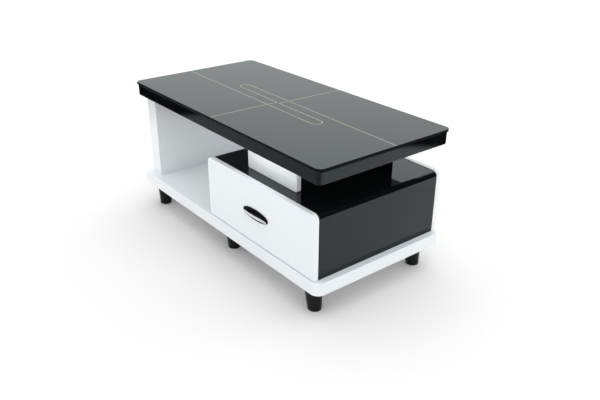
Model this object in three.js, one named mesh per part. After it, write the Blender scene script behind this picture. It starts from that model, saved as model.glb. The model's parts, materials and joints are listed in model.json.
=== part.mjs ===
// Coffee table: a glass top on a black panel, carried by a thick end panel and a short column
// that stands on a drawer casing, all on a white base with six feet.
// Millimetres. +X runs along the table to its drawer end, -Y faces the user, +Z is up, and the
// floor is z = 0. Everything is laid out about the middle of the base, then the whole table is
// moved along Y so that the origin is under the middle of its box, handle included.
import * as THREE from 'three';

// ---------------------------------------------------------------- driving dimensions
const TOTAL_HEIGHT = 460;
const GLASS_LENGTH = 1000;
const GLASS_WIDTH = 496;
const GLASS_THICKNESS = 8;
const GLASS_CORNER_RADIUS = 20;
const PAD_THICKNESS = 2;
const PAD_RADIUS = 7;
const PAD_INSET = 60;

const TOP_PANEL_THICKNESS = 36;
const GLASS_OVERHANG = 4;
const SKIN_THICKNESS = 5;
const EDGE_BAND_THICKNESS = 2;
const GLUE_GAP = 0.3;
const RAIL_WIDTH = 60;

const BASE_THICKNESS = 40;
const BASE_OVERHANG = 2;
const BASE_CORNER_RADIUS = 28;
const DECK_THICKNESS = 9;
const BASE_BATTEN_WIDTH = 80;

const FOOT_HEIGHT = 85;
const FOOT_BOTTOM_RADIUS = 20.5;
const FOOT_TOP_RADIUS = 29;
const FOOT_CHAMFER = 2.5;
const CORNER_FOOT_END_INSET = 65;
const CORNER_FOOT_SIDE_INSET = 48;
const MIDDLE_FOOT_SIDE_INSET = 66;

const SLAB_THICKNESS = 56;
const SLAB_END_INSET = 29.5;
const SLAB_SIDE_INSET = 25;
const SLAB_STILE_WIDTH = 45;

const CASING_LENGTH = 521;
const CASING_HEIGHT = 199;
const CASING_END_INSET = 20;
const CASING_BOARD = 16;
const CASING_TOP_DROP = 2;
const CASING_END_DROP = 1;
const CASING_EDGE_RADIUS = 14;
const PANEL_THICKNESS = 16;
const PANEL_CORNER_RADIUS = 18;
const FRONT_SETBACK = 5;
const REAR_SETBACK = 7;

const COLUMN_LENGTH = 234;
const COLUMN_SETBACK = 55;
const COLUMN_BOARD = 15;
const COLUMN_CORNER_RADIUS = 6;
const COLUMN_SIDE_DROP = 2;

const DRAWER_FRONT_GAP = 2;
const DRAWER_BOARD = 12;
const DRAWER_BOX_HEIGHT = 130;
const DRAWER_FLOOR_CLEARANCE = 14;
const DRAWER_REAR_CLEARANCE = 36;
const DRAWER_BOTTOM_THICKNESS = 5;
const DRAWER_BOTTOM_LIFT = 10;
const GROOVE_DEPTH = 6;
const GROOVE_CLEARANCE = 0.4;

const SLIDE_WIDTH = 13;
const SLIDE_HEIGHT = 36;
const SLIDE_WALL = 1.4;
const SLIDE_REAR_CLEARANCE = 54;
const SLIDE_BALL_GAP = 1.1;

const HANDLE_LENGTH = 120;
const HANDLE_HEIGHT = 34;
const HANDLE_SIDE_OFFSET = -5;
const HANDLE_DROP = 2;
const HANDLE_PLATE_THICKNESS = 3;
const OVAL_POWER = 0.85;
const HANDLE_PROJECTION = 15;
const BOW_HEIGHT = 14;
const BOW_DROP = 3.5;
const BOW_THICKNESS = 4;
const BOW_END_MARGIN = 3;
const BOW_FOOT_LENGTH = 16;
const SCREW_RADIUS = 2;
const SCREW_HEAD_RADIUS = 4.2;
const SCREW_HEAD_THICKNESS = 2.4;
const SCREW_CLEARANCE = 0.35;

const ARC_STEPS = 10;

// ---------------------------------------------------------------- derived levels and faces
const baseLength = GLASS_LENGTH + 2 * BASE_OVERHANG;
const baseWidth = GLASS_WIDTH + 2 * BASE_OVERHANG;
const baseTop = FOOT_HEIGHT + BASE_THICKNESS;
const glassBottom = TOTAL_HEIGHT - GLASS_THICKNESS;
const panelTop = glassBottom - PAD_THICKNESS;
const panelBottom = panelTop - TOP_PANEL_THICKNESS;
const panelLength = GLASS_LENGTH - 2 * GLASS_OVERHANG;
const panelWidth = GLASS_WIDTH - 2 * GLASS_OVERHANG;
const panelRadius = GLASS_CORNER_RADIUS - GLASS_OVERHANG;

const slabLeft = -GLASS_LENGTH / 2 + SLAB_END_INSET;
const slabRight = slabLeft + SLAB_THICKNESS;
const slabFront = -GLASS_WIDTH / 2 + SLAB_SIDE_INSET;
const slabRear = -slabFront;

const casingRight = baseLength / 2 - CASING_END_INSET;
const casingLeft = casingRight - CASING_LENGTH;
const casingMiddle = (casingLeft + casingRight) / 2;
const casingPanelTop = baseTop + CASING_HEIGHT;
const casingTop = casingPanelTop - CASING_TOP_DROP;
const boardLeft = casingLeft + CASING_END_DROP;
const boardRight = casingRight - CASING_END_DROP;
const drawerFace = -baseWidth / 2 + FRONT_SETBACK;
const drawerBack = drawerFace + PANEL_THICKNESS;
const boardFront = drawerBack + DRAWER_FRONT_GAP;
const rearPanelFace = baseWidth / 2 - REAR_SETBACK;
const boardRear = rearPanelFace - PANEL_THICKNESS;
const casingInnerLeft = boardLeft + CASING_BOARD;
const casingInnerRight = boardRight - CASING_BOARD;

const columnLeft = casingMiddle - COLUMN_LENGTH / 2;
const columnRight = casingMiddle + COLUMN_LENGTH / 2;
const columnFront = drawerFace + COLUMN_SETBACK;
const columnRear = rearPanelFace - COLUMN_SETBACK;

const boxLeft = casingInnerLeft + SLIDE_WIDTH;
const boxRight = casingInnerRight - SLIDE_WIDTH;
const boxRear = boardRear - DRAWER_REAR_CLEARANCE;
const boxBottom = baseTop + DRAWER_FLOOR_CLEARANCE;
const boxTop = boxBottom + DRAWER_BOX_HEIGHT;
const handleMiddle = casingMiddle + HANDLE_SIDE_OFFSET;
const handleHeight = baseTop + CASING_HEIGHT / 2 - HANDLE_DROP;
const slideLength = boardRear - boardFront - SLIDE_REAR_CLEARANCE;
const slideHeight = (boxBottom + boxTop) / 2;

// ---------------------------------------------------------------- materials
function finish(color, roughness, metalness) {
  return new THREE.MeshStandardMaterial({ color, roughness, metalness });
}

const materials = {
  glass: finish(0x14171a, 0.05, 0),
  black: finish(0x101113, 0.15, 0),
  white: finish(0xeef1f2, 0.2, 0),
  fibreboard: finish(0xb9946a, 0.8, 0),
  blackPlastic: finish(0x17181a, 0.3, 0),
  chrome: finish(0xd8dadc, 0.08, 1),
  steel: finish(0xb4b8bb, 0.35, 1),
  rubber: finish(0xcfd3d4, 0.5, 0),
};

// ---------------------------------------------------------------- shapes and placing
const table = new THREE.Group();

function newGroup(name) {
  const group = new THREE.Group();
  group.name = name;
  table.add(group);
  return group;
}

function addMesh(group, name, material, geometry, position) {
  const mesh = new THREE.Mesh(geometry, material);
  mesh.name = name;
  mesh.position.set(...position);
  group.add(mesh);
  return mesh;
}

// A square-edged board between two opposite corners.
function addBoard(group, name, material, low, high) {
  const size = high.map((value, axis) => value - low[axis]);
  const middle = high.map((value, axis) => (value + low[axis]) / 2);
  return addMesh(group, name, material, new THREE.BoxGeometry(...size), middle);
}

function extrude(shape, depth) {
  return new THREE.ExtrudeGeometry(shape, { depth, bevelEnabled: false, curveSegments: ARC_STEPS });
}

// A flat sheet: the outline lies in plan and the thickness goes up from z.
function addSheet(group, name, material, shape, z, thickness) {
  return addMesh(group, name, material, extrude(shape, thickness), [0, 0, z]);
}

// An upright profile in X and Z, pushed forward (towards -Y) from its rear face.
function addUpright(group, name, material, shape, rear, depth) {
  const mesh = addMesh(group, name, material, extrude(shape, depth), [0, rear, 0]);
  mesh.rotation.x = Math.PI / 2;
  return mesh;
}

function polygon(points) {
  return new THREE.Shape(points.map(([x, y]) => new THREE.Vector2(x, y)));
}

// A rectangle whose four corners have their own radii: bottom-left, bottom-right, top-right, top-left.
function roundedOutline(left, bottom, right, top, radii) {
  const [bottomLeft, bottomRight, topRight, topLeft] = radii;
  const shape = new THREE.Shape();
  shape.moveTo(left + bottomLeft, bottom);
  shape.lineTo(right - bottomRight, bottom);
  if (bottomRight > 0) {
    shape.absarc(right - bottomRight, bottom + bottomRight, bottomRight, -Math.PI / 2, 0, false);
  }
  shape.lineTo(right, top - topRight);
  if (topRight > 0) {
    shape.absarc(right - topRight, top - topRight, topRight, 0, Math.PI / 2, false);
  }
  shape.lineTo(left + topLeft, top);
  if (topLeft > 0) {
    shape.absarc(left + topLeft, top - topLeft, topLeft, Math.PI / 2, Math.PI, false);
  }
  shape.lineTo(left, bottom + bottomLeft);
  if (bottomLeft > 0) {
    shape.absarc(left + bottomLeft, bottom + bottomLeft, bottomLeft, Math.PI, Math.PI * 1.5, false);
  }
  return shape;
}

function centredOutline(length, width, radius) {
  const radii = [radius, radius, radius, radius];
  return roundedOutline(-length / 2, -width / 2, length / 2, width / 2, radii);
}

// A built-up panel: two skins on a frame of rails, closed by a band round its edge.
// battens lists the middle and the width of each cross rail between the front and rear rails.
function addBuiltUpPanel(group, name, finishes, outline, bottom, layers, endRails, battens) {
  const { length, width, radius } = outline;
  const { lower, core, upper } = layers;
  const inset = EDGE_BAND_THICKNESS + GLUE_GAP;
  const skinLength = length - 2 * inset;
  const skinWidth = width - 2 * inset;
  const skinRadius = radius - inset;
  const skin = centredOutline(skinLength, skinWidth, skinRadius);
  const coreBottom = bottom + lower;
  const coreTop = coreBottom + core;
  const thickness = lower + core + upper;

  addSheet(group, `${name}_bottom_skin`, finishes.face, skin, bottom, lower);
  addSheet(group, `${name}_top_skin`, finishes.face, skin, coreTop, upper);

  const frontRail = roundedOutline(
    -skinLength / 2,
    -skinWidth / 2,
    skinLength / 2,
    -skinWidth / 2 + RAIL_WIDTH,
    [skinRadius, skinRadius, 0, 0],
  );
  const rearRail = roundedOutline(
    -skinLength / 2,
    skinWidth / 2 - RAIL_WIDTH,
    skinLength / 2,
    skinWidth / 2,
    [0, 0, skinRadius, skinRadius],
  );
  addSheet(group, `${name}_front_rail`, finishes.core, frontRail, coreBottom, core);
  addSheet(group, `${name}_rear_rail`, finishes.core, rearRail, coreBottom, core);

  const innerFront = -skinWidth / 2 + RAIL_WIDTH;
  const addCrossRail = (label, left, right) => {
    addBoard(group, `${name}_${label}`, finishes.core,
      [left, innerFront, coreBottom], [right, -innerFront, coreTop]);
  };
  addCrossRail('left_rail', -skinLength / 2, -skinLength / 2 + endRails.left);
  addCrossRail('right_rail', skinLength / 2 - endRails.right, skinLength / 2);
  battens.forEach(({ middle, width: battenWidth }, index) => {
    addCrossRail(`batten_${index + 1}`, middle - battenWidth / 2, middle + battenWidth / 2);
  });

  const band = centredOutline(length, width, radius);
  const bandInside = EDGE_BAND_THICKNESS;
  band.holes.push(centredOutline(length - 2 * bandInside, width - 2 * bandInside, radius - bandInside));
  addSheet(group, `${name}_edge_band`, finishes.face, band, bottom, thickness);
}

// ---------------------------------------------------------------- glass and top panel
function buildTop() {
  const group = newGroup('top');
  const glass = centredOutline(GLASS_LENGTH, GLASS_WIDTH, GLASS_CORNER_RADIUS);
  addSheet(group, 'glass_top', materials.glass, glass, glassBottom, GLASS_THICKNESS);

  const padX = GLASS_LENGTH / 2 - PAD_INSET;
  const padY = GLASS_WIDTH / 2 - PAD_INSET;
  const corners = [['front_left', -1, -1], ['front_right', 1, -1], ['rear_left', -1, 1], ['rear_right', 1, 1]];
  for (const [label, sideX, sideY] of corners) {
    const pad = new THREE.CylinderGeometry(PAD_RADIUS, PAD_RADIUS, PAD_THICKNESS, 24);
    const mesh = addMesh(group, `glass_pad_${label}`, materials.rubber, pad,
      [sideX * padX, sideY * padY, panelTop + PAD_THICKNESS / 2]);
    mesh.rotation.x = Math.PI / 2;
  }

  const outline = { length: panelLength, width: panelWidth, radius: panelRadius };
  const layers = {
    lower: SKIN_THICKNESS,
    core: TOP_PANEL_THICKNESS - 2 * SKIN_THICKNESS,
    upper: SKIN_THICKNESS,
  };
  const endRails = { left: slabRight + panelLength / 2, right: RAIL_WIDTH };
  const battens = [
    { middle: columnLeft + RAIL_WIDTH / 2, width: RAIL_WIDTH },
    { middle: columnRight - RAIL_WIDTH / 2, width: RAIL_WIDTH },
  ];
  const finishes = { face: materials.black, core: materials.fibreboard };
  addBuiltUpPanel(group, 'top_panel', finishes, outline, panelBottom, layers, endRails, battens);
}

// ---------------------------------------------------------------- base and feet
function buildBase() {
  const group = newGroup('base');
  const outline = { length: baseLength, width: baseWidth, radius: BASE_CORNER_RADIUS };
  const layers = {
    lower: SKIN_THICKNESS,
    core: BASE_THICKNESS - SKIN_THICKNESS - DECK_THICKNESS,
    upper: DECK_THICKNESS,
  };
  const endRails = {
    left: slabRight + baseLength / 2,
    right: CASING_END_INSET + CASING_BOARD + RAIL_WIDTH,
  };
  const battens = [{ middle: 0, width: BASE_BATTEN_WIDTH }];
  const finishes = { face: materials.white, core: materials.fibreboard };
  addBuiltUpPanel(group, 'base', finishes, outline, FOOT_HEIGHT, layers, endRails, battens);
}

// A tapered foot standing on z = 0, its bottom moved sideways by lean along X.
function footGeometry(lean) {
  const outline = [
    [0, 0],
    [FOOT_BOTTOM_RADIUS - FOOT_CHAMFER, 0],
    [FOOT_BOTTOM_RADIUS, FOOT_CHAMFER],
    [FOOT_TOP_RADIUS, FOOT_HEIGHT],
    [0, FOOT_HEIGHT],
  ];
  const geometry = new THREE.LatheGeometry(outline.map(([r, z]) => new THREE.Vector2(r, z)), 36);
  geometry.rotateX(Math.PI / 2);
  const slope = -lean / FOOT_HEIGHT;
  const shear = new THREE.Matrix4().set(1, 0, slope, lean, 0, 1, 0, 0, 0, 0, 1, 0, 0, 0, 0, 1);
  return geometry.applyMatrix4(shear);
}

function buildFeet() {
  const group = newGroup('feet');
  const lean = FOOT_TOP_RADIUS - FOOT_BOTTOM_RADIUS;
  const cornerX = baseLength / 2 - CORNER_FOOT_END_INSET - lean;
  const cornerY = baseWidth / 2 - CORNER_FOOT_SIDE_INSET;
  const middleY = baseWidth / 2 - MIDDLE_FOOT_SIDE_INSET;
  for (const [row, sideY] of [['front', -1], ['rear', 1]]) {
    for (const [end, sideX] of [['left', -1], ['right', 1]]) {
      addMesh(group, `foot_${row}_${end}`, materials.blackPlastic, footGeometry(sideX * lean),
        [sideX * cornerX, sideY * cornerY, 0]);
    }
    addMesh(group, `foot_${row}_middle`, materials.blackPlastic, footGeometry(0), [0, sideY * middleY, 0]);
  }
}

// ---------------------------------------------------------------- end panel on the left
function buildSlab() {
  const group = newGroup('slab');
  const coreLeft = slabLeft + SKIN_THICKNESS;
  const coreRight = slabRight - SKIN_THICKNESS;
  const stileFront = slabFront + SLAB_STILE_WIDTH;
  const stileRear = slabRear - SLAB_STILE_WIDTH;
  const add = (name, material, low, high) => addBoard(group, name, material, low, high);

  add('slab_outer_skin', materials.white, [slabLeft, slabFront, baseTop], [coreLeft, slabRear, panelBottom]);
  add('slab_inner_skin', materials.white, [coreRight, slabFront, baseTop], [slabRight, slabRear, panelBottom]);
  add('slab_front_stile', materials.white, [coreLeft, slabFront, baseTop], [coreRight, stileFront, panelBottom]);
  add('slab_rear_stile', materials.white, [coreLeft, stileRear, baseTop], [coreRight, slabRear, panelBottom]);
  add('slab_bottom_rail', materials.fibreboard,
    [coreLeft, stileFront, baseTop], [coreRight, stileRear, baseTop + SLAB_STILE_WIDTH]);
  add('slab_top_rail', materials.fibreboard,
    [coreLeft, stileFront, panelBottom - SLAB_STILE_WIDTH], [coreRight, stileRear, panelBottom]);
}

// ---------------------------------------------------------------- drawer casing
function casingPanelOutline(bottom) {
  const radius = PANEL_CORNER_RADIUS;
  return roundedOutline(casingLeft, bottom, casingRight, casingPanelTop, [0, 0, radius, radius]);
}

function buildCasing() {
  const group = newGroup('casing');
  const sideTop = casingTop - CASING_BOARD;
  const topRadii = [0, 0, CASING_EDGE_RADIUS, CASING_EDGE_RADIUS];
  const topProfile = roundedOutline(boardLeft, sideTop, boardRight, casingTop, topRadii);
  addUpright(group, 'casing_top', materials.black, topProfile, boardRear, boardRear - boardFront);
  addBoard(group, 'casing_left_side', materials.black,
    [boardLeft, boardFront, baseTop], [casingInnerLeft, boardRear, sideTop]);
  addBoard(group, 'casing_right_side', materials.black,
    [casingInnerRight, boardFront, baseTop], [boardRight, boardRear, sideTop]);
  addUpright(group, 'casing_rear_panel', materials.white, casingPanelOutline(baseTop),
    rearPanelFace, PANEL_THICKNESS);
}

// ---------------------------------------------------------------- column under the top
function buildColumn() {
  const group = newGroup('column');
  const radius = COLUMN_CORNER_RADIUS;
  const facing = roundedOutline(columnLeft, casingTop, columnRight, panelBottom, [radius, radius, 0, 0]);
  addUpright(group, 'column_front_panel', materials.white, facing, columnFront + COLUMN_BOARD, COLUMN_BOARD);
  addUpright(group, 'column_rear_panel', materials.black, facing, columnRear, COLUMN_BOARD);

  const sideFront = columnFront + COLUMN_BOARD;
  const sideRear = columnRear - COLUMN_BOARD;
  const left = columnLeft + COLUMN_SIDE_DROP;
  const right = columnRight - COLUMN_SIDE_DROP;
  addBoard(group, 'column_left_side', materials.black,
    [left, sideFront, casingTop], [left + COLUMN_BOARD, sideRear, panelBottom]);
  addBoard(group, 'column_right_side', materials.black,
    [right - COLUMN_BOARD, sideFront, casingTop], [right, sideRear, panelBottom]);
}

// ---------------------------------------------------------------- drawer
const boxFrontInner = drawerBack + DRAWER_BOARD;
const screwSpan = HANDLE_LENGTH / 2 - BOW_END_MARGIN - BOW_FOOT_LENGTH / 2;
const screwPlaces = [handleMiddle - screwSpan, handleMiddle + screwSpan];

function drillForScrews(shape) {
  for (const x of screwPlaces) {
    const hole = new THREE.Path();
    hole.absarc(x, handleHeight, SCREW_RADIUS + SCREW_CLEARANCE, 0, Math.PI * 2, true);
    shape.holes.push(hole);
  }
  return shape;
}

// The section of a drawer side: a board with a groove on its inner face for the bottom.
function grooveProfile(outer, inner) {
  const towardsOuter = Math.sign(outer - inner);
  const grooveBottom = boxBottom + DRAWER_BOTTOM_LIFT - GROOVE_CLEARANCE;
  const grooveTop = grooveBottom + DRAWER_BOTTOM_THICKNESS + 2 * GROOVE_CLEARANCE;
  const grooveEnd = inner + towardsOuter * GROOVE_DEPTH;
  return polygon([
    [outer, boxBottom],
    [inner, boxBottom],
    [inner, grooveBottom],
    [grooveEnd, grooveBottom],
    [grooveEnd, grooveTop],
    [inner, grooveTop],
    [inner, boxTop],
    [outer, boxTop],
  ]);
}

function buildDrawer() {
  const group = newGroup('drawer');
  const front = drillForScrews(casingPanelOutline(baseTop + DRAWER_FRONT_GAP));
  addUpright(group, 'drawer_front', materials.white, front, drawerBack, PANEL_THICKNESS);

  const innerLeft = boxLeft + DRAWER_BOARD;
  const innerRight = boxRight - DRAWER_BOARD;
  const sideLength = boxRear - drawerBack;
  addUpright(group, 'drawer_left_side', materials.fibreboard, grooveProfile(boxLeft, innerLeft),
    boxRear, sideLength);
  addUpright(group, 'drawer_right_side', materials.fibreboard, grooveProfile(boxRight, innerRight),
    boxRear, sideLength);

  const bottomTop = boxBottom + DRAWER_BOTTOM_LIFT + DRAWER_BOTTOM_THICKNESS;
  const crossBottom = bottomTop + GROOVE_CLEARANCE;
  const innerFront = drillForScrews(
    roundedOutline(innerLeft, crossBottom, innerRight, boxTop, [0, 0, 0, 0]));
  addUpright(group, 'drawer_inner_front', materials.fibreboard, innerFront, boxFrontInner, DRAWER_BOARD);
  addBoard(group, 'drawer_back', materials.fibreboard,
    [innerLeft, boxRear - DRAWER_BOARD, crossBottom], [innerRight, boxRear, boxTop]);

  const reach = GROOVE_DEPTH - GROOVE_CLEARANCE;
  addBoard(group, 'drawer_bottom', materials.fibreboard,
    [innerLeft - reach, drawerBack, boxBottom + DRAWER_BOTTOM_LIFT],
    [innerRight + reach, boxRear, bottomTop]);
}

// ---------------------------------------------------------------- handle
// An oval with blunt ends, fuller than an ellipse.
function ovalOutline(middleX, middleZ, length, height) {
  const points = [];
  const steps = 8 * ARC_STEPS;
  for (let step = 0; step < steps; step += 1) {
    const angle = (2 * Math.PI * step) / steps;
    const across = Math.sign(Math.cos(angle)) * Math.abs(Math.cos(angle)) ** OVAL_POWER;
    const up = Math.sign(Math.sin(angle)) * Math.abs(Math.sin(angle)) ** OVAL_POWER;
    points.push([middleX + (across * length) / 2, middleZ + (up * height) / 2]);
  }
  return polygon(points);
}

// Points along an arc between two ends on the line y = 0, bulging towards -Y by depth.
function bowArc(half, depth, fromX, toX) {
  const radius = (half * half + depth * depth) / (2 * depth);
  const points = [];
  const steps = 2 * ARC_STEPS;
  for (let step = 0; step <= steps; step += 1) {
    const x = fromX + ((toX - fromX) * step) / steps;
    const y = radius - depth - Math.sqrt(radius * radius - x * x);
    points.push([x, y]);
  }
  return points;
}

function buildHandle() {
  const group = newGroup('handle');
  const plate = drillForScrews(ovalOutline(handleMiddle, handleHeight, HANDLE_LENGTH, HANDLE_HEIGHT));
  addUpright(group, 'handle_plate', materials.blackPlastic, plate, drawerFace, HANDLE_PLATE_THICKNESS);

  const outerHalf = HANDLE_LENGTH / 2 - BOW_END_MARGIN;
  const innerHalf = outerHalf - BOW_FOOT_LENGTH;
  const reach = HANDLE_PROJECTION - HANDLE_PLATE_THICKNESS;
  const outer = bowArc(outerHalf, reach, -outerHalf, outerHalf);
  const inner = bowArc(innerHalf, reach - BOW_THICKNESS, innerHalf, -innerHalf);
  const bow = extrude(polygon([...outer, ...inner]), BOW_HEIGHT);
  addMesh(group, 'handle_bow', materials.chrome, bow,
    [handleMiddle, drawerFace - HANDLE_PLATE_THICKNESS, handleHeight - BOW_DROP - BOW_HEIGHT / 2]);

  const tip = drawerFace - HANDLE_PLATE_THICKNESS + SCREW_CLEARANCE;
  const screwLength = boxFrontInner - tip;
  const profile = [
    [0, 0],
    [SCREW_RADIUS, 0],
    [SCREW_RADIUS, screwLength],
    [SCREW_HEAD_RADIUS, screwLength],
    [SCREW_HEAD_RADIUS, screwLength + SCREW_HEAD_THICKNESS],
    [0, screwLength + SCREW_HEAD_THICKNESS],
  ].map(([r, y]) => new THREE.Vector2(r, y));
  screwPlaces.forEach((x, index) => {
    const name = `handle_screw_${index + 1}`;
    addMesh(group, name, materials.steel, new THREE.LatheGeometry(profile, 16), [x, tip, handleHeight]);
  });
}

// ---------------------------------------------------------------- drawer slides
// A C section between two distances from the casing wall: its web is at webStart, its flanges
// reach to flangeEnd, and wall and side place it (side is 1 on the left slide and -1 on the right).
function channelProfile(wall, side, webStart, flangeEnd, halfHeight) {
  const webEnd = webStart + Math.sign(flangeEnd - webStart) * SLIDE_WALL;
  const at = (distance) => wall + side * distance;
  return polygon([
    [at(webStart), slideHeight - halfHeight],
    [at(flangeEnd), slideHeight - halfHeight],
    [at(flangeEnd), slideHeight - halfHeight + SLIDE_WALL],
    [at(webEnd), slideHeight - halfHeight + SLIDE_WALL],
    [at(webEnd), slideHeight + halfHeight - SLIDE_WALL],
    [at(flangeEnd), slideHeight + halfHeight - SLIDE_WALL],
    [at(flangeEnd), slideHeight + halfHeight],
    [at(webStart), slideHeight + halfHeight],
  ]);
}

function buildSlides() {
  const group = newGroup('slides');
  const rear = boardFront + slideLength;
  const outerHalf = SLIDE_HEIGHT / 2;
  const middleHalf = outerHalf - SLIDE_WALL - SLIDE_BALL_GAP;
  const innerHalf = middleHalf - SLIDE_WALL - SLIDE_BALL_GAP;
  const middleWeb = SLIDE_WALL + SLIDE_BALL_GAP;
  const innerFlange = middleWeb + SLIDE_WALL + SLIDE_BALL_GAP;
  const middleFlange = SLIDE_WIDTH - SLIDE_WALL - SLIDE_BALL_GAP;
  for (const [label, wall, side] of [['left', casingInnerLeft, 1], ['right', casingInnerRight, -1]]) {
    const add = (name, webStart, flangeEnd, halfHeight) => {
      const profile = channelProfile(wall, side, webStart, flangeEnd, halfHeight);
      addUpright(group, `slide_${label}_${name}`, materials.steel, profile, rear, slideLength);
    };
    add('outer', 0, middleFlange, outerHalf);
    add('middle', middleWeb, middleFlange, middleHalf);
    add('inner', SLIDE_WIDTH, innerFlange, innerHalf);
  }
}

// ---------------------------------------------------------------- the whole table
buildTop();
buildBase();
buildFeet();
buildSlab();
buildCasing();
buildColumn();
buildDrawer();
buildHandle();
buildSlides();

const foremost = drawerFace - HANDLE_PROJECTION;
const rearmost = baseWidth / 2;
table.position.y = -(foremost + rearmost) / 2;

export default table;
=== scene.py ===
"""Gloss black and white coffee table with a glass top, an open shelf and one drawer.

Metres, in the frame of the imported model: +X along the table, -Y towards the drawer front, +Z up.
"""

import json
import math

import bmesh
import bpy
from mathutils import Matrix, Vector


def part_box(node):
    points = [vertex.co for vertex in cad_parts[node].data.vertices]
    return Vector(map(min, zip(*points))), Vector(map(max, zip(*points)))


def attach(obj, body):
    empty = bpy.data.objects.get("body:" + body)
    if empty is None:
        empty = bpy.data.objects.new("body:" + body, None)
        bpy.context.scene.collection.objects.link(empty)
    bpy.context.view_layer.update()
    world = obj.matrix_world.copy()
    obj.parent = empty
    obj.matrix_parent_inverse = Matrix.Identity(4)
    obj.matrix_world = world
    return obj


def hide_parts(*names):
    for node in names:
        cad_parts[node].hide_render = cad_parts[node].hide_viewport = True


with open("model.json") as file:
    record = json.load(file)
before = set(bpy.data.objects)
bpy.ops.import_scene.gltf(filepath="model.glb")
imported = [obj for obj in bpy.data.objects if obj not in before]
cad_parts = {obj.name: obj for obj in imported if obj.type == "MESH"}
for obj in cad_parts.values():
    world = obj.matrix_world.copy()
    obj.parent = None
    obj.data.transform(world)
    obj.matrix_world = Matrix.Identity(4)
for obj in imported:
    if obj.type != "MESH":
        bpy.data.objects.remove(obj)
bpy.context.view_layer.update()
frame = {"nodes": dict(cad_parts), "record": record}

MM = 0.001
ARC_STEPS = 16          # points in a quarter of a round corner
RIM_STEPS = 4           # bands in a softened edge
SHARP_ANGLE = math.radians(38)

GLASS_CORNER = 20 * MM
TOP_PANEL_CORNER = 16 * MM
BASE_CORNER = 28 * MM
CASING_CORNER = 14 * MM
CASING_BOARD = 16 * MM
FRONT_CORNER = 18 * MM
COLUMN_CORNER = 6 * MM
FOOT_TOP_RADIUS = 29 * MM
FOOT_BOTTOM_RADIUS = 20.5 * MM

COOL_GLOSS = (0.83, 0.94, 1.0, 1.0)     # tint of what the black lacquer and the glass reflect


# ---------------------------------------------------------------- material nodes
class Surface:
    """A Principled material with a few helpers for its procedural detail."""

    def __init__(self, name, color, roughness, metallic=0.0, ior=1.5):
        self.material = bpy.data.materials.new(name)
        self.material.use_nodes = True
        self.nodes = self.material.node_tree.nodes
        self.links = self.material.node_tree.links
        self.shader = self.nodes["Principled BSDF"]
        self.set("Base Color", (*color, 1.0))
        self.set("Roughness", roughness)
        self.set("Metallic", metallic)
        self.set("IOR", ior)
        self.coordinates = self.nodes.new("ShaderNodeTexCoord").outputs["Object"]

    def set(self, socket, value):
        self.shader.inputs[socket].default_value = value

    def noise(self, scale, detail=2.0, stretch=(1.0, 1.0, 1.0), roughness=0.5):
        mapping = self.nodes.new("ShaderNodeMapping")
        mapping.inputs["Scale"].default_value = stretch
        self.links.new(self.coordinates, mapping.inputs["Vector"])
        texture = self.nodes.new("ShaderNodeTexNoise")
        texture.inputs["Scale"].default_value = scale
        texture.inputs["Detail"].default_value = detail
        texture.inputs["Roughness"].default_value = roughness
        self.links.new(mapping.outputs["Vector"], texture.inputs["Vector"])
        return texture.outputs["Fac"]

    def ramp(self, value, low, high, out_low, out_high, shape="LINEAR"):
        """Maps a value from low..high to out_low..out_high, clamped."""
        node = self.nodes.new("ShaderNodeMapRange")
        node.interpolation_type = shape
        node.inputs["From Min"].default_value = low
        node.inputs["From Max"].default_value = high
        node.inputs["To Min"].default_value = out_low
        node.inputs["To Max"].default_value = out_high
        self.links.new(value, node.inputs["Value"])
        return node.outputs["Result"]

    def faded(self, value, start, full, left):
        """Falls smoothly from 1 where the value is at the start to what is left where it is full."""
        return self.ramp(value, start, full, 1.0, left, "SMOOTHSTEP")

    def product(self, first, second):
        node = self.nodes.new("ShaderNodeMath")
        node.operation = "MULTIPLY"
        self.links.new(first, node.inputs[0])
        self.links.new(second, node.inputs[1])
        return node.outputs["Value"]

    def position(self):
        """The point being shaded, in the scene's frame, whole and as separate axes."""
        point = self.nodes.new("ShaderNodeNewGeometry").outputs["Position"]
        split = self.nodes.new("ShaderNodeSeparateXYZ")
        self.links.new(point, split.inputs["Vector"])
        return point, split.outputs

    def mix(self, factor, color_a, color_b):
        node = self.nodes.new("ShaderNodeMix")
        node.data_type = "RGBA"
        node.inputs["A"].default_value = (*color_a, 1.0)
        node.inputs["B"].default_value = (*color_b, 1.0)
        self.links.new(factor, node.inputs["Factor"])
        return node.outputs["Result"]

    def mottle(self, value, color_a, color_b, low=0.35, high=0.65):
        factor = self.ramp(value, low, high, 0.0, 1.0)
        self.links.new(self.mix(factor, color_a, color_b), self.shader.inputs["Base Color"])

    def vary_roughness(self, value, smooth, rough, low=0.35, high=0.7):
        self.links.new(self.ramp(value, low, high, smooth, rough), self.shader.inputs["Roughness"])

    def bump(self, value, strength, depth):
        node = self.nodes.new("ShaderNodeBump")
        node.inputs["Strength"].default_value = strength
        node.inputs["Distance"].default_value = depth
        self.links.new(value, node.inputs["Height"])
        previous = self.shader.inputs["Normal"].links
        if previous:
            self.links.new(previous[0].from_socket, node.inputs["Normal"])
        self.links.new(node.outputs["Normal"], self.shader.inputs["Normal"])


def lacquer(name, color, other, smooth, rough, ior):
    """High-gloss lacquer: faint orange peel, faint drift of colour, wiped smears in the gloss."""
    surface = Surface(name, color, smooth, ior=ior)
    surface.mottle(surface.noise(3.0), color, other)
    surface.vary_roughness(surface.noise(9.0, 4.0, (1.0, 2.5, 1.0), 0.6), smooth, rough)
    surface.bump(surface.noise(420.0, 1.0), 0.05, 0.02 * MM)
    surface.set("Specular Tint", COOL_GLOSS)
    return surface.material


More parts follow.
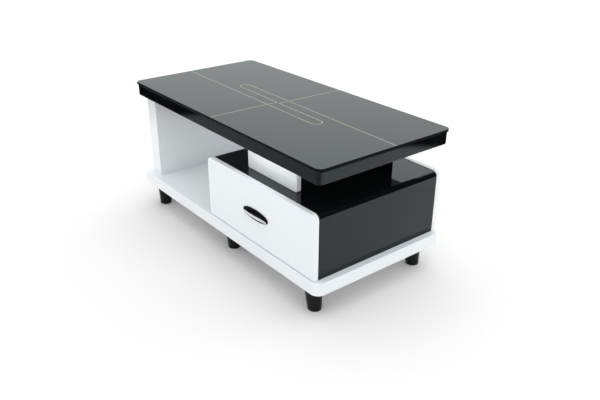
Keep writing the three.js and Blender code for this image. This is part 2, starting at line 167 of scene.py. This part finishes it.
def glass_material():
    """Black painted glass seen through its front face: mirror-smooth, with faint wipe marks."""
    surface = Surface("black_glass", (0.006, 0.007, 0.008), 0.015, ior=1.52)
    surface.mottle(surface.noise(2.0), (0.006, 0.007, 0.008), (0.009, 0.011, 0.012))
    surface.vary_roughness(surface.noise(5.0, 5.0, (1.0, 3.0, 1.0), 0.65), 0.01, 0.05)
    surface.set("Specular Tint", COOL_GLOSS)
    return surface.material


def gold_material():
    """Printed gold line: fine metallic grain."""
    surface = Surface("gold_print", (0.37, 0.40, 0.26), 0.45, metallic=0.3)
    surface.mottle(surface.noise(900.0), (0.34, 0.37, 0.23), (0.41, 0.44, 0.30))
    surface.bump(surface.noise(1500.0), 0.1, 0.02 * MM)
    return surface.material


def moulded_plastic(name, color, other, smooth, rough, ior):
    """Moulded plastic: faint flow marks and a fine leathery grain."""
    surface = Surface(name, color, smooth, ior=ior)
    surface.mottle(surface.noise(14.0), color, other)
    surface.vary_roughness(surface.noise(35.0, 4.0), smooth, rough)
    surface.bump(surface.noise(700.0, 2.0), 0.12, 0.03 * MM)
    return surface.material


def glass_edge_material():
    """Ground edge of the glass: dark, satin, with fine grinding marks along it."""
    surface = Surface("glass_edge", (0.004, 0.006, 0.006), 0.4, ior=1.12)
    surface.mottle(surface.noise(25.0), (0.003, 0.005, 0.005), (0.007, 0.010, 0.009))
    surface.vary_roughness(surface.noise(300.0, 3.0, (1.0, 1.0, 8.0)), 0.35, 0.55)
    return surface.material


def chrome_material():
    surface = Surface("chrome", (0.82, 0.83, 0.84), 0.06, metallic=1.0)
    surface.mottle(surface.noise(40.0), (0.80, 0.81, 0.82), (0.86, 0.86, 0.87))
    surface.vary_roughness(surface.noise(160.0, 4.0), 0.04, 0.11)
    return surface.material


def rolled_steel():
    """Zinc-plated strip: spangled, with rolling marks along its length."""
    surface = Surface("zinc_steel", (0.55, 0.57, 0.59), 0.35, metallic=1.0)
    surface.mottle(surface.noise(120.0, 3.0), (0.50, 0.52, 0.54), (0.64, 0.66, 0.67))
    surface.vary_roughness(surface.noise(400.0, 3.0, (1.0, 0.03, 1.0)), 0.26, 0.44)
    surface.bump(surface.noise(500.0, 2.0, (1.0, 0.02, 1.0)), 0.15, 0.05 * MM)
    return surface.material


def fibreboard():
    """Raw medium-density board: fine felted flecks."""
    surface = Surface("fibreboard", (0.50, 0.36, 0.22), 0.85)
    surface.mottle(surface.noise(600.0, 6.0, roughness=0.7), (0.42, 0.29, 0.17), (0.58, 0.43, 0.27))
    surface.bump(surface.noise(900.0, 4.0), 0.35, 0.15 * MM)
    return surface.material


def melamine():
    """White melamine foil on the drawer boards: a fine pebbled texture."""
    surface = Surface("melamine", (0.80, 0.81, 0.81), 0.38)
    surface.mottle(surface.noise(6.0), (0.79, 0.80, 0.80), (0.83, 0.84, 0.84))
    surface.vary_roughness(surface.noise(30.0, 3.0), 0.32, 0.46)
    surface.bump(surface.noise(1100.0, 2.0), 0.3, 0.06 * MM)
    return surface.material


def silicone():
    surface = Surface("silicone", (0.62, 0.64, 0.65), 0.3)
    surface.mottle(surface.noise(60.0), (0.58, 0.60, 0.61), (0.68, 0.70, 0.71))
    surface.vary_roughness(surface.noise(90.0), 0.25, 0.4)
    return surface.material


BLACK = lacquer("black_lacquer", (0.003, 0.004, 0.0045), (0.0045, 0.0055, 0.0065), 0.03, 0.08, 1.435)
WHITE = lacquer("white_lacquer", (0.825, 0.84, 0.855), (0.805, 0.825, 0.84), 0.10, 0.2, 1.5)
GLASS = glass_material()
GOLD = gold_material()
GLASS_EDGE = glass_edge_material()
PLASTIC = moulded_plastic("foot_plastic", (0.004, 0.0045, 0.005), (0.007, 0.0075, 0.008), 0.25, 0.4, 1.25)
MATT_PLASTIC = moulded_plastic("handle_plastic", (0.002,) * 3, (0.003,) * 3, 0.3, 0.45, 1.1)
CHROME = chrome_material()
STEEL = rolled_steel()
BOARD = fibreboard()
MELAMINE = melamine()
SILICONE = silicone()


# ---------------------------------------------------------------- outlines and meshes
def arc(center, radius, start, end, steps=ARC_STEPS):
    """Points on an arc, with both ends, angles in degrees."""
    points = []
    for step in range(steps + 1):
        angle = math.radians(start + (end - start) * step / steps)
        points.append((center[0] + radius * math.cos(angle), center[1] + radius * math.sin(angle)))
    return points


def rounded_rectangle(low, high, radii):
    """Anticlockwise outline; radii are bottom-left, bottom-right, top-right, top-left."""
    corners = [
        (low[0], low[1], 1, 1, 180),
        (high[0], low[1], -1, 1, 270),
        (high[0], high[1], -1, -1, 0),
        (low[0], high[1], 1, -1, 90),
    ]
    points = []
    for (x, y, inward_x, inward_y, start), radius in zip(corners, radii):
        if radius == 0:
            points.append((x, y))
        else:
            center = (x + inward_x * radius, y + inward_y * radius)
            points.extend(arc(center, radius, start, start + 90))
    return points


def drawn_in(points, distance):
    """The outline moved inwards by distance, with mitred corners."""
    moved = []
    count = len(points)
    for index in range(count):
        before = Vector(points[index]) - Vector(points[index - 1])
        after = Vector(points[(index + 1) % count]) - Vector(points[index])
        normal_before = Vector((-before.y, before.x)).normalized()
        normal_after = Vector((-after.y, after.x)).normalized()
        miter = (normal_before + normal_after) / (1 + normal_before.dot(normal_after))
        moved.append(tuple(Vector(points[index]) + miter * distance))
    return moved


def place(plane, a, b, depth):
    """A point of an outline in a plane, at a depth along the plane's normal."""
    return {"xy": (a, b, depth), "xz": (a, depth, b), "yz": (depth, a, b)}[plane]


def new_object(name, vertices, faces, material, body):
    mesh = bpy.data.meshes.new(name)
    mesh.from_pydata(vertices, [], faces)
    tidy = bmesh.new()
    tidy.from_mesh(mesh)
    bmesh.ops.recalc_face_normals(tidy, faces=tidy.faces)
    tidy.to_mesh(mesh)
    tidy.free()
    mesh.shade_smooth()
    mesh.set_sharp_from_angle(angle=SHARP_ANGLE)
    piece = bpy.data.objects.new(name, mesh)
    bpy.context.scene.collection.objects.link(piece)
    piece.data.materials.append(material)
    weighted = piece.modifiers.new("flat_faces", "WEIGHTED_NORMAL")
    weighted.keep_sharp = True
    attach(piece, body)
    return piece


def loft(rings, close_ends=True):
    """Vertices and faces that join rings of equally many points, and cap the ends if asked."""
    size = len(rings[0])
    vertices = [point for ring in rings for point in ring]
    faces = []
    for level in range(len(rings) - 1):
        for index in range(size):
            after = (index + 1) % size
            low = level * size
            high = low + size
            faces.append((low + index, low + after, high + after, high + index))
    if close_ends:
        last = (len(rings) - 1) * size
        faces.append(tuple(range(size - 1, -1, -1)))
        faces.append(tuple(range(last, last + size)))
    return vertices, faces


def board(name, outline, plane, start, end, edge, material, body):
    """An outline pushed from start to end, both rims softened to a radius of edge."""
    rings = []
    for side, origin in ((1, start), (-1, end)):
        bands = []
        for step in range(RIM_STEPS + 1):
            angle = math.radians(90 * step / RIM_STEPS)
            inset = edge * (1 - math.sin(angle))
            depth = origin + side * edge * (1 - math.cos(angle))
            bands.append([place(plane, a, b, depth) for a, b in drawn_in(outline, inset)])
        rings.extend(bands if side == 1 else reversed(bands))
    vertices, faces = loft(rings)
    return new_object(name, vertices, faces, material, body)


# ---------------------------------------------------------------- top
GLASS_ARRIS = 1.0 * MM
TOP_PANEL_EDGE = 1.5 * MM
LEVEL = 0.9                         # a face whose normal is more upright than this is on top or below


def build_top():
    low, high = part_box("glass_top")
    outline = rounded_rectangle(low, high, [GLASS_CORNER] * 4)
    glass = board("glass_sheet", outline, "xy", low[2], high[2], GLASS_ARRIS, GLASS, "root")
    glass.data.materials.append(GLASS_EDGE)
    for face in glass.data.polygons:
        if abs(face.normal.z) < LEVEL:
            face.material_index = 1
    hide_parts("glass_top")

    low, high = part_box("top_panel_edge_band")
    outline = rounded_rectangle(low, high, [TOP_PANEL_CORNER] * 4)
    panel = board("top_panel", outline, "xy", low[2], high[2], TOP_PANEL_EDGE, BLACK, "root")
    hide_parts("top_panel_edge_band", "top_panel_top_skin", "top_panel_bottom_skin")


LINE_WIDTH = 2.6 * MM
LINE_THICKNESS = 0.06 * MM
LINE_GAP = 0.02 * MM                # above the glass
LINE_MARGIN = 1.5 * MM              # from the ends of the lines to the edge of the glass
LINE_CENTRE = Vector((5 * MM, -1.5 * MM))
LINE_TURN = math.radians(-1.45)     # the whole pattern is turned a little on the glass
LINE_OFFSET = 37.1 * MM             # from the middle to the long line
RETURN_OFFSET = 0.7 * MM            # from the middle to the stretch that comes back
LEG_OFFSET = 7 * MM                 # from the middle to the stretch that leaves sideways
TURN_REACH = 235.8 * MM             # from the middle to the far end of a loop


def ribbon(name, path, z):
    """A thin printed line of constant width along a path on the glass."""
    left, right = [], []
    for index, point in enumerate(path):
        before = (point - path[index - 1]).normalized() if index else None
        after = (path[index + 1] - point).normalized() if index + 1 < len(path) else None
        along_a = before or after
        along_b = after or before
        normal_a = Vector((-along_a.y, along_a.x))
        normal_b = Vector((-along_b.y, along_b.x))
        miter = (normal_a + normal_b) / (1 + normal_a.dot(normal_b))
        left.append(point + miter * LINE_WIDTH / 2)
        right.append(point - miter * LINE_WIDTH / 2)
    rings = []
    for a, b in zip(left, right):
        top = z + LINE_THICKNESS
        rings.append([(a.x, a.y, z), (b.x, b.y, z), (b.x, b.y, top), (a.x, a.y, top)])
    vertices, faces = loft(rings)
    return new_object(name, vertices, faces, GOLD, "root")


def build_gold_lines():
    """Two equal lines: in from one end, round a long loop to the middle, and out to one side."""
    low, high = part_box("glass_top")
    middle = Vector(((low[0] + high[0]) / 2, (low[1] + high[1]) / 2)) + LINE_CENTRE
    radius = (LINE_OFFSET - RETURN_OFFSET) / 2
    loop = arc((TURN_REACH - radius, -RETURN_OFFSET - radius), radius, -90, 90)
    slant = math.tan(LINE_TURN)
    for name, side in (("gold_line_a", 1), ("gold_line_b", -1)):
        end_reach = (high[0] - low[0]) / 2 - LINE_MARGIN + side * LINE_CENTRE.x
        side_reach = (high[1] - low[1]) / 2 - LINE_MARGIN - side * LINE_CENTRE.y
        end = (-end_reach - LINE_OFFSET * slant, -LINE_OFFSET)
        exit_point = (LEG_OFFSET, side_reach + LEG_OFFSET * slant)
        path = [end, *loop, (LEG_OFFSET, -RETURN_OFFSET), exit_point]
        turn = Matrix.Rotation(LINE_TURN, 2)
        placed = [middle + side * (turn @ Vector(point)) for point in path]
        ribbon(name, placed, high[2] + LINE_GAP)


# ---------------------------------------------------------------- white and black boards
BASE_EDGE = 2 * MM
SLAB_CORNER = 2 * MM
SLAB_EDGE = 0.3 * MM
CASING_EDGE = 0.8 * MM
CASING_FILLET = 1.5 * MM            # inside the casing, where its boards meet
FACE_EDGE = 1.6 * MM
COLUMN_EDGE = 1.2 * MM


def build_base():
    low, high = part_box("base_edge_band")
    outline = rounded_rectangle(low, high, [BASE_CORNER] * 4)
    base = board("base_panel", outline, "xy", low[2], high[2], BASE_EDGE, WHITE, "root")
    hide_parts("base_edge_band", "base_top_skin", "base_bottom_skin")


def build_slab():
    """The thick end panel, in one piece outside."""
    skins = ("slab_outer_skin", "slab_inner_skin", "slab_front_stile", "slab_rear_stile")
    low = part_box("slab_outer_skin")[0]
    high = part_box("slab_inner_skin")[1]
    outline = rounded_rectangle((low[0], low[1]), (high[0], high[1]), [SLAB_CORNER] * 4)
    slab = board("end_panel", outline, "xy", low[2], high[2], SLAB_EDGE, WHITE, "root")
    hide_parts(*skins)


def build_casing():
    """The top and both sides of the casing, in one piece with round upper corners."""
    left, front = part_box("casing_left_side")[0][:2]
    right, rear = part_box("casing_right_side")[1][:2]
    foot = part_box("casing_left_side")[0][2]
    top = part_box("casing_top")[1][2]
    turn = CASING_BOARD + CASING_FILLET
    outline = [(left, foot), (left + CASING_BOARD, foot)]
    outline += reversed(arc((left + turn, top - turn), CASING_FILLET, 90, 180, 4))
    outline += reversed(arc((right - turn, top - turn), CASING_FILLET, 0, 90, 4))
    outline += [(right - CASING_BOARD, foot), (right, foot)]
    outline += arc((right - CASING_CORNER, top - CASING_CORNER), CASING_CORNER, 0, 90)
    outline += arc((left + CASING_CORNER, top - CASING_CORNER), CASING_CORNER, 90, 180)
    hood = board("casing_hood", outline, "xz", front, rear, CASING_EDGE, BLACK, "root")
    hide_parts("casing_top", "casing_left_side", "casing_right_side")


def facing(name, node, radii, body, material, edge=FACE_EDGE):
    """An upright panel, seen from the front, that stands for one CAD panel."""
    low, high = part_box(node)
    outline = rounded_rectangle((low[0], low[2]), (high[0], high[2]), radii)
    panel = board(name, outline, "xz", low[1], high[1], edge, material, body)
    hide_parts(node)


def build_panels():
    top_round = [0, 0, FRONT_CORNER, FRONT_CORNER]
    bottom_round = [COLUMN_CORNER, COLUMN_CORNER, 0, 0]
    facing("rear_panel", "casing_rear_panel", top_round, "root", WHITE)
    facing("drawer_face", "drawer_front", top_round, "drawer", WHITE)
    facing("column_face", "column_front_panel", bottom_round, "root", WHITE, COLUMN_EDGE)
    facing("column_back", "column_rear_panel", bottom_round, "root", BLACK, COLUMN_EDGE)


# ---------------------------------------------------------------- feet
FOOT_PROFILE_STEPS = 6
FOOT_STEPS = 64
FOOT_ROUND = 1.6 * MM               # at the rim of the sole
FOOT_COLLAR = 3 * MM                # height of the collar at the top
FOOT_GROOVE = 0.6 * MM              # depth of the groove under the collar
COLLAR_STEP = 1.0 * MM              # from the taper out to the collar
COLLAR_CHAMFER = 0.5 * MM


def foot_profile(height):
    """Radius against height, from the sole up: a rounded sole edge, a taper and a small collar."""
    profile = []
    for step in range(FOOT_PROFILE_STEPS + 1):
        angle = math.radians(90 * step / FOOT_PROFILE_STEPS)
        inset = FOOT_ROUND * (1 - math.sin(angle))
        profile.append((FOOT_BOTTOM_RADIUS - inset, FOOT_ROUND * (1 - math.cos(angle))))
    groove = height - FOOT_COLLAR
    taper_top = FOOT_TOP_RADIUS - COLLAR_STEP
    profile.append((taper_top, groove - 0.8 * MM))
    profile.append((taper_top - FOOT_GROOVE, groove))
    profile.append((FOOT_TOP_RADIUS - COLLAR_CHAMFER, groove + 0.3 * MM))
    profile.append((FOOT_TOP_RADIUS, groove + 0.9 * MM))
    profile.append((FOOT_TOP_RADIUS, height))
    return profile


def build_foot(node):
    """A round foot; those at the ends lean outwards so that their outer side is upright."""
    low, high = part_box(node)
    center = ((low[0] + high[0]) / 2, (low[1] + high[1]) / 2)
    side = 0 if "middle" in node else math.copysign(1, center[0])
    lean = side * (FOOT_TOP_RADIUS - FOOT_BOTTOM_RADIUS)
    height = high[2] - low[2]
    rings = []
    for radius, z in foot_profile(height):
        shift = lean * (1 - z / height)
        ring = []
        for step in range(FOOT_STEPS):
            angle = 2 * math.pi * step / FOOT_STEPS
            x = center[0] + shift + radius * math.cos(angle)
            ring.append((x, center[1] + radius * math.sin(angle), low[2] + z))
        rings.append(ring)
    vertices, faces = loft(rings)
    foot = new_object(f"leg{node[4:]}", vertices, faces, PLASTIC, "root")
    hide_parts(node)


# ---------------------------------------------------------------- handle
PLATE_STEPS = 96
PLATE_POWER = 0.92
PLATE_EDGE = 0.9 * MM
BOW_STEPS = 40
BOW_SPAN = 0.96                     # of the CAD bow's length
BOW_HEIGHT = 9.5 * MM
BOW_THICKNESS = 3.4 * MM
BOW_THINNEST = 0.4 * MM
BOW_ARCH = 6 * MM                   # how much higher the middle is than the tips
BOW_LIFT = 1.2 * MM
BOW_TAPER = 0.3                     # share of its height that the bow loses at its tips
SECTION_STEPS = 24
SECTION_POWER = 0.55
PAINTED_SHADE_LIP = range(18, 23)            # section faces along the lower front of the bow, given dark plastic as a painted shade line under the chrome


def rounder(angle, power):
    """Cosine and sine of an angle, pushed out towards a rounded box."""
    cosine, sine = math.cos(angle), math.sin(angle)
    return math.copysign(abs(cosine) ** power, cosine), math.copysign(abs(sine) ** power, sine)


def build_plate():
    """The black oval behind the bow."""
    low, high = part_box("handle_plate")
    middle_x, middle_z = (low[0] + high[0]) / 2, (low[2] + high[2]) / 2
    half_x, half_z = (high[0] - low[0]) / 2, (high[2] - low[2]) / 2
    outline = []
    for step in range(PLATE_STEPS):
        across, up = rounder(2 * math.pi * step / PLATE_STEPS, PLATE_POWER)
        outline.append((middle_x + across * half_x, middle_z + up * half_z))
    plate = board(
        "pull_plate", outline, "xz", low[1], high[1], PLATE_EDGE,
        MATT_PLASTIC, "drawer",
    )
    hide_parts("handle_plate")


def build_bow():
    """A chrome strip bent outwards and a little upwards in front of the plate."""
    low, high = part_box("handle_bow")
    half = (high[0] - low[0]) / 2
    depth = high[1] - low[1]
    center_x = (high[0] + low[0]) / 2
    center_z = (high[2] + low[2]) / 2
    radius = (half ** 2 + depth ** 2) / (2 * depth)
    rings = []
    for step in range(BOW_STEPS + 1):
        along = -1 + 2 * step / BOW_STEPS
        x = half * along * BOW_SPAN
        outer = high[1] + radius - depth - math.sqrt(radius ** 2 - x ** 2)
        thickness = max(min(BOW_THICKNESS, high[1] - outer), BOW_THINNEST)
        middle = center_z + BOW_LIFT + BOW_ARCH * (0.5 - along ** 2)
        half_height = BOW_HEIGHT / 2 * (1 - BOW_TAPER * abs(along) ** 6)
        ring = []
        for index in range(SECTION_STEPS):
            across, up = rounder(2 * math.pi * index / SECTION_STEPS, SECTION_POWER)
            y = outer + thickness / 2 - across * thickness / 2
            ring.append((center_x + x, y, middle + up * half_height))
        rings.append(ring)
    vertices, faces = loft(rings)
    bow = new_object("pull_bow", vertices, faces, CHROME, "drawer")
    bow.data.materials.append(MATT_PLASTIC)
    # painted shade: the faces along the lower front of the bow take the dark plastic, a dark line that
    # stands in for the shadow under the chrome
    for face in bow.data.polygons:
        places = [index % SECTION_STEPS for index in face.vertices]
        if len(places) == 4 and min(places) in PAINTED_SHADE_LIP:
            face.material_index = 1
    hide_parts("handle_bow")


# ---------------------------------------------------------------- CAD nodes that stay as they are
KEPT_FINISHES = {
    "black_gloss": BLACK,
    "white_gloss": WHITE,
    "board": BOARD,
    "drawer_board": MELAMINE,
    "steel": STEEL,
    "clear_rubber": SILICONE,
    "black_plastic": PLASTIC,
    "chrome": CHROME,
    "glass": GLASS,
}
KEPT_EDGES = {
    "drawer_board": 0.5 * MM,
    "black_gloss": 0.6 * MM,
    "board": 0.4 * MM,
    "clear_rubber": 0.4 * MM,
}
KEPT_EDGE_ANGLE = math.radians(40)  # only edges sharper than this are softened


def dress_cad_nodes():
    """Finishes on every CAD node, and small bevels on those that have square edges."""
    slots = {row["node"]: row["material_slot"] for row in frame["record"]["subparts"]}
    for name, node in frame["nodes"].items():
        slot = slots[name]
        if not node.data.materials:
            node.data.materials.append(None)
        for index in range(len(node.data.materials)):
            node.data.materials[index] = KEPT_FINISHES[slot]
        if slot in KEPT_EDGES:
            bevel = node.modifiers.new("soft_edge", "BEVEL")
            bevel.width = KEPT_EDGES[slot]
            bevel.segments = 2
            bevel.limit_method = "ANGLE"
            bevel.angle_limit = KEPT_EDGE_ANGLE


# ---------------------------------------------------------------- studio
VIEW_AZIMUTH = math.radians(51.2)
VIEW_ELEVATION = math.radians(25.91)
VIEW_ROLL = math.radians(0.36)
VIEW_DISTANCE = 2.0362
VIEW_TARGET = Vector((0.2089, -0.0693, 0.2166))
VIEW_LENS = 39.95

PURE_WHITE = (1.0, 1.0, 1.0, 1.0)
FLOOR_COLOR = (0.80, 0.775, 0.765)
FLOOR_REACH = 30.0
SWEEP_HOLE = ((-1.0, -0.6), (1.0, 0.8))     # inside this the real floor is reflected
SWEEP_HOLE_CORNER = 0.4
SWEEP_HEIGHT = 1 * MM
SWEEP_SCALE = 8                     # how many times wider the sweep is than its hole
SWEEP_CENTRE = (0.25, -0.3)
SWEEP_GLOW = (1.12, 1.15, 1.12, 1.0)
SWEEP_EDGE = (1.55, 1.67)           # from this distance the sweep darkens, at this one it is black
FRONT_SHADE = (-0.6, -0.72, 0.36)   # y where it starts, y where it is full, brightness left
CURTAIN_RADIUS = 2.6
CURTAIN_SPAN = (-20, 95)
CURTAIN_FADE = 25                   # degrees over which each end turns clear
CURTAIN_HEIGHT = 3.6
BACKDROP_RADIUS = 20.0
BACKDROP_HEIGHT = 20.0
SKY_COLOR = (0.955, 0.99, 1.0, 1.0)
SKY_GLOW = 0.54
# azimuth, elevation and spread in degrees, then brightness at the middle
SOFT_BOXES = (
    (-135, 45, 60, 0.66),
    (0, 90, 50, 1.30),
    (70, 18, 55, 0.80),
    (-25, 14, 50, 0.75),
    (165, 10, 45, 1.2),
)
SHELF_FILL = 0.29                   # watts of the lamp under the top, over the open shelf
SHELF_FILL_SIZE = (0.2, 0.4)
SHELF_FILL_PLACE = 0.65             # share of the way from the end panel to the casing
COLUMN_FILL = 0.04                  # watts of the lamp in front of the column
COLUMN_FILL_SIZE = (0.22, 0.02)
COLUMN_FILL_GAP = 0.035             # from the column's face


def direction(azimuth, elevation):
    """A unit vector from angles in radians; azimuth 0 is -Y and a quarter turn is +X."""
    return Vector((
        math.sin(azimuth) * math.cos(elevation),
        -math.cos(azimuth) * math.cos(elevation),
        math.sin(elevation),
    ))


def build_camera():
    back = direction(VIEW_AZIMUTH, VIEW_ELEVATION)
    data = bpy.data.cameras.new("camera")
    data.lens = VIEW_LENS
    data.sensor_width = 36.0
    data.dof.use_dof = False
    camera = bpy.data.objects.new("camera", data)
    right = Vector((0, 0, 1)).cross(back).normalized()
    up = back.cross(right)
    upright = Matrix((right, up, back)).transposed()
    turned = upright @ Matrix.Rotation(VIEW_ROLL, 3, "Z")
    camera.matrix_world = Matrix.Translation(VIEW_TARGET + back * VIEW_DISTANCE) @ turned.to_4x4()
    bpy.context.scene.collection.objects.link(camera)
    bpy.context.scene.camera = camera


def matt_surface(name, color):
    surface = Surface(name, color, 0.9)
    surface.set("Specular IOR Level", 0.0)
    return surface


def add_stage(name, vertices, faces, material):
    mesh = bpy.data.meshes.new(name)
    mesh.from_pydata(vertices, [], faces)
    mesh.materials.append(material)
    piece = bpy.data.objects.new(name, mesh)
    bpy.context.scene.collection.objects.link(piece)
    return piece


def only_in_gloss(piece):
    piece.visible_camera = False
    piece.visible_diffuse = False
    piece.visible_shadow = False
    piece.visible_transmission = False


def build_floor():
    far = FLOOR_REACH
    corners = [(-far, -far, 0), (far, -far, 0), (far, far, 0), (-far, far, 0)]
    add_stage("floor", corners, [(0, 1, 2, 3)], matt_surface("floor", FLOOR_COLOR).material)


def sweep_material():
    """Painted reflection of a pale studio floor, seen only in the gloss: a glow with painted shade that
    gets darker away from the table and towards the front.
    """
    surface = matt_surface("sweep", (0.0, 0.0, 0.0))
    surface.set("Emission Color", SWEEP_GLOW)
    point, axes = surface.position()
    distance = surface.nodes.new("ShaderNodeVectorMath")
    distance.operation = "DISTANCE"
    distance.inputs[1].default_value = (*SWEEP_CENTRE, 0.0)
    surface.links.new(point, distance.inputs[0])
    glow = surface.product(
        surface.faded(distance.outputs["Value"], *SWEEP_EDGE, 0.0),
        surface.faded(axes["Y"], *FRONT_SHADE),
    )
    surface.links.new(glow, surface.shader.inputs["Emission Strength"])
    return surface.material


def build_sweep():
    """The studio floor round the table as the gloss reflects it."""
    inner = rounded_rectangle(*SWEEP_HOLE, [SWEEP_HOLE_CORNER] * 4)
    outer = [(x * SWEEP_SCALE, y * SWEEP_SCALE) for x, y in inner]
    rings = [[(x, y, SWEEP_HEIGHT) for x, y in ring] for ring in (inner, outer)]
    vertices, faces = loft(rings, close_ends=False)
    only_in_gloss(add_stage("sweep", vertices, faces, sweep_material()))


def curtain_material():
    """Painted dark reflection: a black sheet seen only in the gloss, clear towards both ends of the
    curtain so that its edges stay soft.
    """
    surface = matt_surface("curtain", (0.01, 0.01, 0.01))
    axes = surface.position()[1]
    start, end = (math.radians(angle) for angle in CURTAIN_SPAN)
    fade = math.radians(CURTAIN_FADE)
    lowest, low = CURTAIN_RADIUS * math.sin(start), CURTAIN_RADIUS * math.sin(start + fade)
    leftmost, left = CURTAIN_RADIUS * math.cos(end), CURTAIN_RADIUS * math.cos(end - fade)
    cover = surface.product(
        surface.faded(axes["Y"], low, lowest, 0.0),
        surface.faded(axes["X"], left, leftmost, 0.0),
    )
    surface.links.new(cover, surface.shader.inputs["Alpha"])
    return surface.material


def build_dark_curtain():
    """A black curtain to the right of the table and behind, which only the gloss reflects."""
    outline = arc((0.0, 0.0), CURTAIN_RADIUS, *CURTAIN_SPAN, 24)
    vertices = [(x, y, 0.0) for x, y in outline] + [(x, y, CURTAIN_HEIGHT) for x, y in outline]
    count = len(outline)
    faces = [(i, i + 1, count + i + 1, count + i) for i in range(count - 1)]
    only_in_gloss(add_stage("dark_curtain", vertices, faces, curtain_material()))


def build_backdrop():
    """A white wall all round that only a camera sees, behind the end of the floor."""
    outline = arc((0.0, 0.0), BACKDROP_RADIUS, 0, 360, 48)[:-1]
    rings = [[(x, y, z) for x, y in outline] for z in (0.0, BACKDROP_HEIGHT)]
    vertices, faces = loft(rings, close_ends=False)
    surface = Surface("backdrop", (0.0, 0.0, 0.0), 0.9)
    surface.set("Emission Color", PURE_WHITE)
    surface.set("Emission Strength", 1.0)
    piece = add_stage("backdrop", vertices, faces, surface.material)
    piece.visible_diffuse = False
    piece.visible_glossy = False
    piece.visible_transmission = False
    piece.visible_shadow = False


def build_sky():
    """Soft light from large glowing areas, each brightest at its middle and fading outwards."""
    world = bpy.data.worlds.new("studio")
    world.use_nodes = True
    nodes, links = world.node_tree.nodes, world.node_tree.links
    toward = nodes.new("ShaderNodeTexCoord").outputs["Generated"]
    background = nodes["Background"]
    background.inputs["Color"].default_value = SKY_COLOR
    total = None
    for azimuth, elevation, spread, peak in SOFT_BOXES:
        facing_box = nodes.new("ShaderNodeVectorMath")
        facing_box.operation = "DOT_PRODUCT"
        facing_box.inputs[1].default_value = direction(math.radians(azimuth), math.radians(elevation))
        links.new(toward, facing_box.inputs[0])
        fade = nodes.new("ShaderNodeMapRange")
        fade.interpolation_type = "LINEAR"
        fade.inputs["From Min"].default_value = math.cos(math.radians(spread))
        fade.inputs["From Max"].default_value = 1.0
        fade.inputs["To Max"].default_value = peak
        links.new(facing_box.outputs["Value"], fade.inputs["Value"])
        add = nodes.new("ShaderNodeMath")
        links.new(fade.outputs["Result"], add.inputs[0])
        add.inputs[1].default_value = SKY_GLOW
        if total is not None:
            links.new(total, add.inputs[1])
        total = add.outputs["Value"]
    links.new(total, background.inputs["Strength"])
    bpy.context.scene.world = world
    bpy.context.scene.view_settings.view_transform = "Standard"


def fill_lamp(name, watts, size, position, toward):
    """A small soft lamp that neither the camera nor the gloss shows."""
    data = bpy.data.lights.new(name, "AREA")
    data.shape = "RECTANGLE"
    data.size, data.size_y = size
    data.energy = watts
    lamp = bpy.data.objects.new(name, data)
    position = Vector(position)
    lamp.rotation_euler = (position - Vector(toward)).to_track_quat("Z", "Y").to_euler()
    lamp.location = position
    lamp.visible_camera = False
    lamp.visible_glossy = False
    bpy.context.scene.collection.objects.link(lamp)


def build_fill_lamps():
    """Lift the shade inside the open shelf and in front of the column."""
    left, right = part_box("slab_inner_skin")[1][0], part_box("casing_left_side")[0][0]
    deck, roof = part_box("base_edge_band")[1][2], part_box("top_panel_edge_band")[0][2]
    over = left + SHELF_FILL_PLACE * (right - left)
    fill_lamp("shelf_fill", SHELF_FILL, SHELF_FILL_SIZE, (over, 0.0, roof - 10 * MM), (over, 0.0, deck))
    low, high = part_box("column_front_panel")
    center = (low[0] + high[0]) / 2
    start = (center, low[1] - COLUMN_FILL_GAP, roof - 6 * MM)
    fill_lamp("column_fill", COLUMN_FILL, COLUMN_FILL_SIZE, start, (center, low[1], low[2]))


# ---------------------------------------------------------------- the scene
build_camera()
build_floor()
build_sweep()
build_dark_curtain()
build_backdrop()
build_sky()
build_fill_lamps()
dress_cad_nodes()
build_top()
build_gold_lines()
build_base()
build_slab()
build_casing()
build_panels()
for foot_node in sorted(name for name in frame["nodes"] if name.startswith("foot_")):
    build_foot(foot_node)
build_plate()
build_bow()
